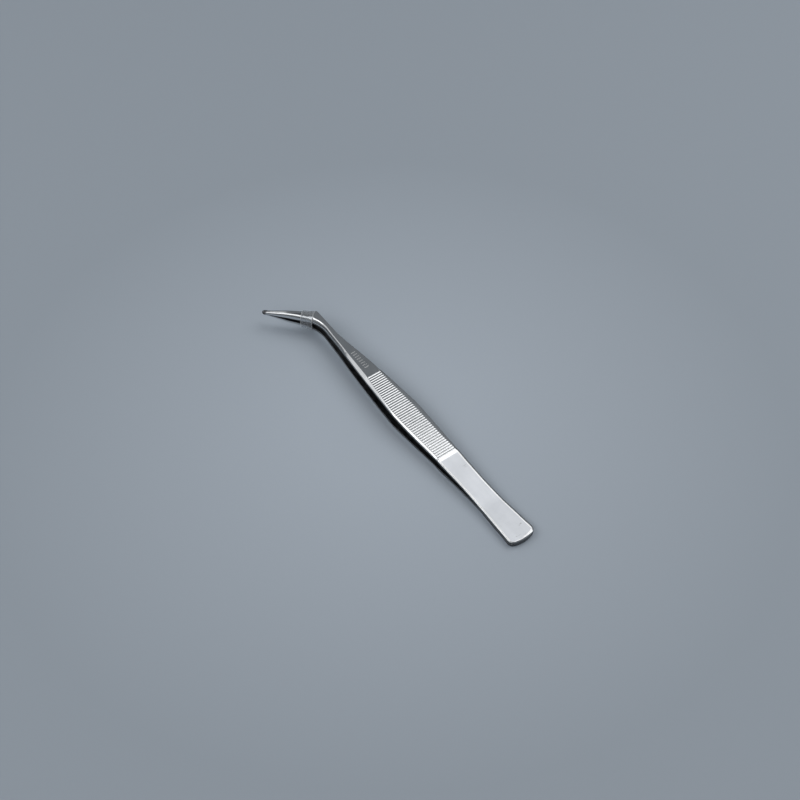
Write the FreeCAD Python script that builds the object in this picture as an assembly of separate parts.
"""Angled tweezers with a cross-ridged grip and a clear tip sleeve: two springy steel arms welded at the heel.

The tweezers are drawn about the mid-plane between their two arms. X runs forwards from the heel's rear
edge along the handle, Y points to the left, where the jaws bend to, and Z points up from the mid-plane.
The lower arm is the mirror image of the upper one. At the end the whole is tipped until it lies on its
heel and on the ridges of its belly, and moved until the origin is under the middle of its box.

Along an arm a place is given by t: the distance along X up to the outer corner of the bend, and from
there on the distance along the jaw, counted on from the corner's.
"""
import FreeCAD, Part
import math
import os

Vector = FreeCAD.Vector

# Lengths along an arm, millimetres
WELD_END = 18.0        # the arms lie together and are welded from the heel's edge to here
FLEXURE = 33.0         # the line across each arm that its bending is centred on
STEP_START = 44.3      # a short step leads from the handle up to the grip
GRIP_START = 45.6      # first ridge
GRIP_END = 92.8        # last ridge
NECK = 118.0           # from here the arm's right edge runs straight to the bend's corner
CORNER = 133.8         # outer corner of the bend
JAW_LENGTH = 22.2      # from the corner to the tip
TIP = CORNER + JAW_LENGTH

# Angles, degrees
BEND = 42.0            # the jaws point this far to the left of the handle
JAW_TAPER = 4.8        # each side of a jaw runs in towards its axis by this much
NECK_TAPER = 4.6       # and so does the neck's left edge before the bend

# Plan of the bend and the tip
CORNER_OFFSET = 2.0    # the corner lies this far to the right of the handle's mid-line
INNER_RADIUS = 16.0    # inside of the bend
TIP_WIDTH = 1.56

# The heel's outline and the seam between the arms
HEEL_END_RADIUS = 13.0
HEEL_CORNER_RADIUS = 2.4
SEAM = 0.10            # the weld metal that parts the two arms
SEAM_INSET = 0.30      # how far the weld stops short of the heel's edge
HEEL_CHAMFER = 0.20

# Ridges across the grip
RIDGE_COUNT = 44
RIDGE_RISE = 0.13      # height of a crown over the groove beside it
RIDGE_FOOT = 0.66      # length of a ridge along the arm at its foot
RIDGE_CROWN = 0.26     # and at its crown
REST_SLOPE = 0.0357    # the crowns are levelled to the plane that runs from the heel's edge at this slope
RIDGE_ROOT = 0.25      # how deep a ridge reaches into the arm, so that it is one with it
PANEL_FADE = 1.2       # the grip's floor is reached over this length at its front end

# The clear sleeve
SLEEVE_START = 0.7     # rear end, forwards of the corner along the jaw
SLEEVE_LENGTH = 5.0
SLEEVE_WALL = 0.28
SLEEVE_CLEARANCE = 0.14
SLEEVE_BORE = [(0.0, 5.84), (SLEEVE_LENGTH, 4.63)]     # distance along the sleeve and the bore's width there
SLEEVE_DROP = 0.40     # slack under the lower jaw

CENTRE_OFFSET = 0.02   # closed jaws stay this far off the mid-plane
KNUCKLE_CLEARANCE = 0.04
ROUND_START = 131.0    # the bevelled section starts to round off here
ROUND_END = 134.5      # and from here it is half round
WALL_SHARE = 0.85      # a side wall is never more than this share of the section's height
ROUND_ANGLES = [0, 10, 55, 125, 170, 180]     # where the bevelled section's corners go on the half-round one
LOFT_STEP = 4.0        # between sections along a straight stretch
BEND_STEP = 0.8        # and round the bend

# Shape along an arm: pairs of t and a size there
WIDTH = [(2.5, 11.50), (10.0, 10.62), (20.0, 9.56), (30.0, 9.24), (39.0, 9.56), (STEP_START, 9.84),
         (GRIP_START, 9.74), (52.0, 10.26), (58.0, 10.86), (66.0, 11.40), (71.0, 11.50), (77.0, 10.80),
         (92.5, 8.26), (104.0, 6.10), (113.0, 4.10), (NECK, 3.30)]
OUTER = [(0.0, 1.30), (18.0, 1.30), (26.0, 1.64), (33.0, 2.03), (STEP_START, 2.62), (GRIP_START, 2.93),
         (52.0, 3.18), (62.0, 3.52), (76.0, 4.13), (84.0, 4.23), (96.0, 4.16), (107.0, 3.95),
         (121.0, 3.66), (CORNER, 3.58), (140.0, 3.30), (145.0, 2.75), (149.0, 1.98), (153.0, 1.24), (TIP, 0.78)]
THICKNESS = [(0.0, 1.25), (33.0, 1.28), (STEP_START, 1.32), (46.0, 1.52), (62.0, 1.80), (92.0, 1.86),
             (107.0, 1.90), (121.0, 2.06), (CORNER, 2.40), (140.0, 2.38), (145.0, 2.02), (149.0, 1.62),
             (TIP, 0.76)]
BEVEL_RIGHT = [(0.0, 0.26), (STEP_START, 0.28), (46.5, 1.30), (58.0, 2.20), (70.0, 2.60), (84.0, 2.10),
               (92.0, 1.20), (96.0, 0.40), (NECK, 0.30), (CORNER, 0.30)]
BEVEL_LEFT = [(0.0, 0.26), (STEP_START, 0.28), (46.5, 0.90), (58.0, 0.95), (70.0, 0.85), (84.0, 1.00),
              (92.0, 1.30), (NECK, 0.80), (CORNER, 1.30)]
WALL_RIGHT = [(0.0, 1.08), (STEP_START, 1.10), (48.0, 1.12), (58.0, 1.05), (70.0, 1.00), (84.0, 1.10),
              (92.0, 1.30), (96.0, 1.20), (CORNER, 1.00)]
WALL_LEFT = [(0.0, 1.08), (STEP_START, 1.10), (48.0, 0.80), (58.0, 0.95), (70.0, 1.10), (84.0, 1.00),
             (92.0, 0.80), (NECK, 1.05), (CORNER, 0.90)]


def along(table, t):
    """The table's size at t: a smooth curve through its pairs that never overshoots them."""
    if t <= table[0][0]:
        return table[0][1]
    for i in range(len(table) - 1):
        if t <= table[i + 1][0]:
            break
    else:
        return table[-1][1]
    (t0, a), (t1, b) = table[i], table[i + 1]
    step = t1 - t0
    slope = (b - a) / step

    def end_slope(j):
        """Slope of the curve at pair j: the harmonic mean of its neighbours' slopes, or none at a turn."""
        if j == 0 or j == len(table) - 1:
            return slope
        before = (table[j][1] - table[j - 1][1]) / (table[j][0] - table[j - 1][0])
        after = (table[j + 1][1] - table[j][1]) / (table[j + 1][0] - table[j][0])
        return 2 * before * after / (before + after) if before * after > 0 else 0.0

    u = (t - t0) / step
    return (a * (1 + 2 * u) * (1 - u) ** 2 + b * u * u * (3 - 2 * u)
            + step * end_slope(i) * u * (1 - u) ** 2 - step * end_slope(i + 1) * u * u * (1 - u))


def smooth_step(u):
    """0 below 0, 1 above 1, and a soft curve between."""
    u = min(1.0, max(0.0, u))
    return u * u * (3 - 2 * u)


def heading(degrees):
    """Unit vector in plan, degrees to the left of the handle's direction."""
    return Vector(math.cos(math.radians(degrees)), math.sin(math.radians(degrees)), 0)


def right_edge(t):
    """The point of an arm's right edge at t, in plan: one crisp corner at the bend."""
    if t <= NECK:
        return Vector(t, -along(WIDTH, t) / 2, 0)
    if t <= CORNER:
        share = (t - NECK) / (CORNER - NECK)
        return Vector(t, -(along(WIDTH, NECK) / 2 * (1 - share) + CORNER_OFFSET * share), 0)
    run = (t - CORNER) / math.cos(math.radians(JAW_TAPER))
    return Vector(CORNER, -CORNER_OFFSET, 0) + heading(BEND + JAW_TAPER) * run


def inner_bend():
    """Where the bend's inner arc leaves the neck's left edge, where it meets the jaw's, and its centre."""
    neck = Vector(NECK, along(WIDTH, NECK) / 2, 0)
    tip = right_edge(TIP) + heading(BEND + 90) * TIP_WIDTH
    swing = math.radians(BEND - JAW_TAPER + NECK_TAPER)
    # how far back from the tip the jaw's left edge would cross the neck's
    back = (tip - neck).dot(heading(90 - NECK_TAPER)) / math.sin(swing)
    crossing = tip - heading(BEND - JAW_TAPER) * back
    reach = INNER_RADIUS * math.tan(swing / 2)
    start = crossing - heading(-NECK_TAPER) * reach
    end = crossing + heading(BEND - JAW_TAPER) * reach
    return start, end, start + heading(90 - NECK_TAPER) * INNER_RADIUS


def left_edge(t):
    """The point of an arm's left edge at t, in plan: a wide arc on the inside of the bend."""
    if t <= NECK:
        return Vector(t, along(WIDTH, t) / 2, 0)
    start, end, centre = inner_bend()
    if t <= start.x:
        return Vector(t, along(WIDTH, NECK) / 2 - (t - NECK) * math.tan(math.radians(NECK_TAPER)), 0)
    tip = right_edge(TIP) + heading(BEND + 90) * TIP_WIDTH
    last = TIP - (tip - end).dot(heading(BEND))
    if t <= last:
        share = (t - start.x) / (last - start.x)
        angle = (BEND - JAW_TAPER + NECK_TAPER) * share - NECK_TAPER
        return centre + heading(angle - 90) * INNER_RADIUS
    return end + heading(BEND - JAW_TAPER) * ((t - last) / math.cos(math.radians(JAW_TAPER)))


def width_at(t):
    """Width of an arm at t."""
    return (left_edge(t) - right_edge(t)).Length


def crown_height(t):
    """Height of the arm's outer face over the mid-plane, the belly levelled so that it lies steadily."""
    return min(along(OUTER, t), along(OUTER, 0) + REST_SLOPE * t)


def outer_height(t):
    """Height of the arm's outer face over the mid-plane: between two ridges in the grip."""
    floor = smooth_step((t - STEP_START) / (GRIP_START - STEP_START))
    floor *= smooth_step((GRIP_END + PANEL_FADE - t) / PANEL_FADE)
    return crown_height(t) - RIDGE_RISE * floor


def inner_height(t):
    """Height of the arm's inner face over the mid-plane."""
    return max(along(OUTER, t) - along(THICKNESS, t), SEAM / 2 if t < FLEXURE else CENTRE_OFFSET)


def section(t):
    """Closed outline of the upper arm at t: flat inside, bevelled outside, half round in the jaws."""
    edge = right_edge(t)
    width = width_at(t)
    side = (left_edge(t) - edge) / width
    low = inner_height(t)
    high = outer_height(t)
    right_wall = low + min(along(WALL_RIGHT, t), (high - low) * WALL_SHARE)
    left_wall = low + min(along(WALL_LEFT, t), (high - low) * WALL_SHARE)
    right_bevel = along(BEVEL_RIGHT, t)
    left_bevel = along(BEVEL_LEFT, t)
    roundness = smooth_step((t - ROUND_START) / (ROUND_END - ROUND_START))
    square = [(0, low), (0, right_wall), (right_bevel, high), (width - left_bevel, high), (width, left_wall),
              (width, low)]

    def on_round(degrees):
        """Point of the half-round section, degrees up from its right edge."""
        a = math.radians(degrees)
        return width / 2 * (1 - math.cos(a)), low + (high - low) * math.sin(a)

    def mixed(angular, squared):
        """The section's own point between the bevelled outline and the round one, in its place."""
        place, height = (s + (r - s) * roundness for s, r in zip(squared, angular))
        return edge + side * place + Vector(0, 0, height)

    points = [mixed(on_round(a), s) for a, s in zip(ROUND_ANGLES, square)]
    edges = [Part.makeLine(points[0], points[1])]
    for i in range(1, 4):
        halfway = [(p + q) / 2 for p, q in zip(square[i], square[i + 1])]
        bulge = mixed(on_round((ROUND_ANGLES[i] + ROUND_ANGLES[i + 1]) / 2), halfway)
        if roundness > 0:
            edges.append(Part.Arc(points[i], bulge, points[i + 1]).toShape())
        else:
            edges.append(Part.makeLine(points[i], points[i + 1]))
    edges.append(Part.makeLine(points[4], points[5]))
    edges.append(Part.makeLine(points[5], points[0]))
    return Part.Wire(edges)


def stations(start, end, spacing):
    """Evenly spaced places from start to end, about spacing apart."""
    count = max(1, round((end - start) / spacing))
    return [start + (end - start) * i / count for i in range(count + 1)]


def arm_blank(start, end):
    """The upper arm's smooth body between two places."""
    marks = [STEP_START, GRIP_START, GRIP_END, GRIP_END + PANEL_FADE, NECK, ROUND_END]
    places = [start]
    for mark in [m for m in marks if start < m < end] + [end]:
        places += stations(places[-1], mark, BEND_STEP if mark == ROUND_END else LOFT_STEP)[1:]
    return Part.makeLoft([section(t) for t in places], True, True)


def rectangle(length, width, height):
    """Closed rectangle about the Z axis, length along X, at a height."""
    corners = [Vector(x * length / 2, y * width / 2, height) for x, y in ((-1, -1), (1, -1), (1, 1), (-1, 1))]
    return Part.makePolygon(corners + corners[:1])


def ridge(t):
    """One ridge across the upper arm's grip: a bar with a flat crown and sloping flanks."""
    reach = RIDGE_FOOT / 2
    slope = math.atan2(crown_height(t + reach) - crown_height(t - reach), RIDGE_FOOT)
    width = along(WIDTH, t) - along(BEVEL_RIGHT, t) - along(BEVEL_LEFT, t)
    bar = Part.makeLoft([rectangle(RIDGE_FOOT, width, -RIDGE_RISE - RIDGE_ROOT),
                         rectangle(RIDGE_FOOT, width, -RIDGE_RISE),
                         rectangle(RIDGE_CROWN, width - 2 * RIDGE_RISE, 0)], True, True)
    bar.rotate(Vector(0, 0, 0), Vector(0, 1, 0), -math.degrees(slope))
    bar.translate(Vector(t, (along(BEVEL_RIGHT, t) - along(BEVEL_LEFT, t)) / 2, crown_height(t)))
    return bar


def ridge_places():
    """The middles of the ridges along the grip."""
    pitch = (GRIP_END - GRIP_START) / RIDGE_COUNT
    return [GRIP_START + pitch * (i + 0.5) for i in range(RIDGE_COUNT)]


def knuckle(radius):
    """Cylinder across the upper arm about the flexure line."""
    width = along(WIDTH, FLEXURE)
    centre = Vector(FLEXURE, -width / 2, flexure_height())
    return Part.makeCylinder(radius, width, centre, Vector(0, 1, 0))


def flexure_height():
    """Height of the upper arm's flexure line: the middle of its thickness."""
    return (along(OUTER, FLEXURE) + inner_height(FLEXURE)) / 2


def flexure_radius():
    """Half the arm's thickness at the flexure line."""
    return (along(OUTER, FLEXURE) - inner_height(FLEXURE)) / 2


def upper_arm():
    """The part of the upper arm that swings: round end at the flexure, ridged grip, neck and jaw."""
    body = arm_blank(FLEXURE, TIP)
    return body.fuse([knuckle(flexure_radius())] + [ridge(t) for t in ridge_places()])


def heel_outline(inset):
    """Outline of the welded heel in plan, from its rounded end to the end of the weld."""
    half = along(WIDTH, 0) / 2 - inset
    end_centre = Vector(inset + HEEL_END_RADIUS, 0, 0)
    # each corner's round touches the end's arc inside and the side's edge
    swing = math.asin((half - HEEL_CORNER_RADIUS) / (HEEL_END_RADIUS - HEEL_CORNER_RADIUS))
    outwards = Vector(-math.cos(swing), math.sin(swing), 0)
    corner_centre = end_centre + outwards * (HEEL_END_RADIUS - HEEL_CORNER_RADIUS)
    end = end_centre + outwards * HEEL_END_RADIUS
    rear = corner_centre + Vector(0, HEEL_CORNER_RADIUS, 0)
    halfway = (outwards + Vector(0, 1, 0)).normalize()
    corner = corner_centre + halfway * HEEL_CORNER_RADIUS
    front = Vector(WELD_END - inset, along(WIDTH, WELD_END) / 2 - inset, 0)
    middle_x = (front.x + rear.x) / 2
    middle = Vector(middle_x, along(WIDTH, middle_x) / 2 - inset, 0)

    def right(p):
        return Vector(p.x, -p.y, p.z)

    return Part.Wire([
        Part.Arc(right(end), Vector(inset, 0, 0), end).toShape(),
        Part.Arc(end, corner, rear).toShape(),
        Part.Arc(rear, middle, front).toShape(),
        Part.makeLine(front, right(front)),
        Part.Arc(right(front), right(middle), right(rear)).toShape(),
        Part.Arc(right(rear), right(corner), right(end)).toShape(),
    ])


def plate(outline, low, high):
    """Flat plate of an outline between two heights."""
    solid = Part.Face(outline).extrude(Vector(0, 0, high - low))
    solid.translate(Vector(0, 0, low))
    return solid


def heel_leaf():
    """The part of the upper arm that stays put: the welded heel and the strip up to the flexure."""
    top = along(OUTER, 0)
    heel = plate(heel_outline(0), SEAM / 2, top)
    rim = [e for e in heel.Edges if e.BoundBox.ZMin > top - SEAM / 2 and e.BoundBox.XMin < WELD_END - SEAM]
    leaf = heel.makeChamfer(HEEL_CHAMFER, rim).fuse(arm_blank(WELD_END, FLEXURE))
    return leaf.cut(knuckle(flexure_radius() + KNUCKLE_CLEARANCE))


def weld():
    """The thin layer of weld metal between the two arms' heels, stopping short of their edges."""
    return plate(heel_outline(SEAM_INSET), -SEAM / 2, SEAM / 2)


def sleeve_ring(run, wall):
    """Outline of the sleeve run mm along it, wall outside its bore: round over each jaw, straight between."""
    t = CORNER + SLEEVE_START + run
    half_bore = along(SLEEVE_BORE, run) / 2
    low = inner_height(t)
    rise = outer_height(t) - low + SLEEVE_CLEARANCE + wall
    side = heading(BEND + 90)
    forwards = heading(BEND)
    middle = right_edge(t) + side * (half_bore - SLEEVE_CLEARANCE)
    half_circle = Part.Arc(Vector(1, 0, 0), Vector(0, 1, 0), Vector(-1, 0, 0)).toShape()

    def half_ellipse(sign, height):
        """The part over the upper jaw, or under the lower one."""
        return half_circle.transformGeometry(FreeCAD.Matrix(
            side.x * (half_bore + wall), 0, forwards.x, middle.x,
            side.y * (half_bore + wall), 0, forwards.y, middle.y,
            0, height * sign, 0, low * sign,
            0, 0, 0, 1))

    def straight(sign):
        """The straight wall on one side, from the upper jaw's edge to the lower one's."""
        foot = middle + side * (half_bore + wall) * sign
        return Part.makeLine(foot + Vector(0, 0, low), foot - Vector(0, 0, low))

    parts = [half_ellipse(1, rise), straight(-1), half_ellipse(-1, rise + SLEEVE_DROP), straight(1)]
    return Part.Wire(Part.sortEdges(parts)[0])


def tip_sleeve():
    """The clear sleeve that is pushed over both jaws and holds them closed."""
    outside = Part.makeLoft([sleeve_ring(run, SLEEVE_WALL) for run in (0, SLEEVE_LENGTH)], True, True)
    bore = Part.makeLoft([sleeve_ring(run, 0) for run in (0, SLEEVE_LENGTH)], True, True)
    return outside.cut(bore)


def lower(shape):
    """The lower arm's twin of a piece of the upper arm."""
    return shape.mirror(Vector(0, 0, 0), Vector(0, 0, 1))


def rest_tilt():
    """Degrees between the mid-plane and a table that the heel and the levelled crowns touch."""
    return math.degrees(math.atan(REST_SLOPE))


def build():
    """Every node by name, in the tweezers' own frame, and the placement that took them there."""
    arm = upper_arm()
    leaf = heel_leaf()
    pieces = {
        "upper_heel_leaf": leaf,
        "lower_heel_leaf": lower(leaf),
        "heel_weld": weld(),
        "upper_arm": arm,
        "lower_arm": lower(arm),
        "tip_sleeve": tip_sleeve(),
    }
    tipped = FreeCAD.Placement(Vector(0, 0, 0), FreeCAD.Rotation(Vector(0, 1, 0), -rest_tilt()))
    everything = Part.makeCompound(list(pieces.values()))
    everything.Placement = tipped
    box = everything.optimalBoundingBox(False)
    shift = FreeCAD.Placement(Vector(-box.Center.x, -box.Center.y, -box.ZMin), FreeCAD.Rotation())
    placement = shift.multiply(tipped)
    for shape in pieces.values():
        shape.Placement = placement.multiply(shape.Placement)
    return pieces, placement


if __name__ == "__main__":
    os.makedirs("parts", exist_ok=True)
    for name, shape in build()[0].items():
        shape.exportStep(f"parts/{name}.step")
